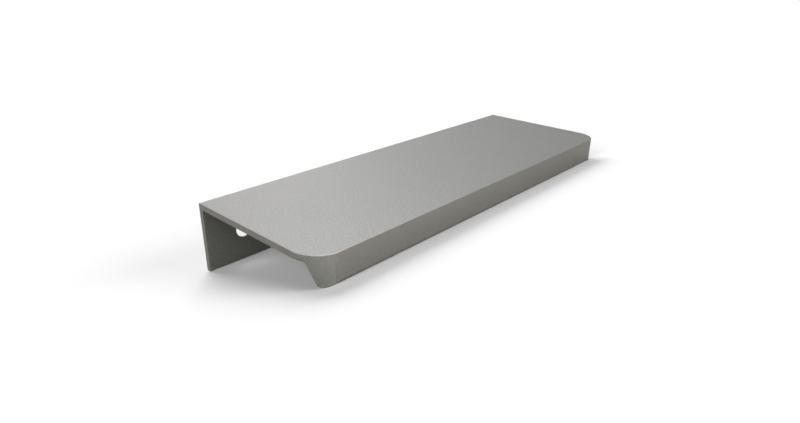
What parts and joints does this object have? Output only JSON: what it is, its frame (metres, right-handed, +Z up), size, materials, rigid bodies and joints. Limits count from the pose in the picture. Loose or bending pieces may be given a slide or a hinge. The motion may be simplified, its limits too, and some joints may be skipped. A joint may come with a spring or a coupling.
{
  "type": "furniture edge pull",
  "caption": "Extruded aluminium edge pull that hooks over a drawer or door front: flat top plate, rear leg with countersunk screw holes, short finger lip, rounded front corners.",
  "frame": {"origin": "centre of the bounding box at the level of the floor that the pull rests on", "axes": "+X along the extrusion, +Y towards the rear leg, +Z up; the pull leans forward by 14.7 degrees, resting on the leg's foot and on the lip, as it does when nothing holds it"},
  "size_m": [0.116, 0.043, 0.0167],
  "materials": {
    "satin_aluminium": "fine matt anodised, slightly grainy, silver grey"
  },
  "bodies": {
    "root": {"handle_profile": "satin_aluminium"}
  },
  "joints": []
}
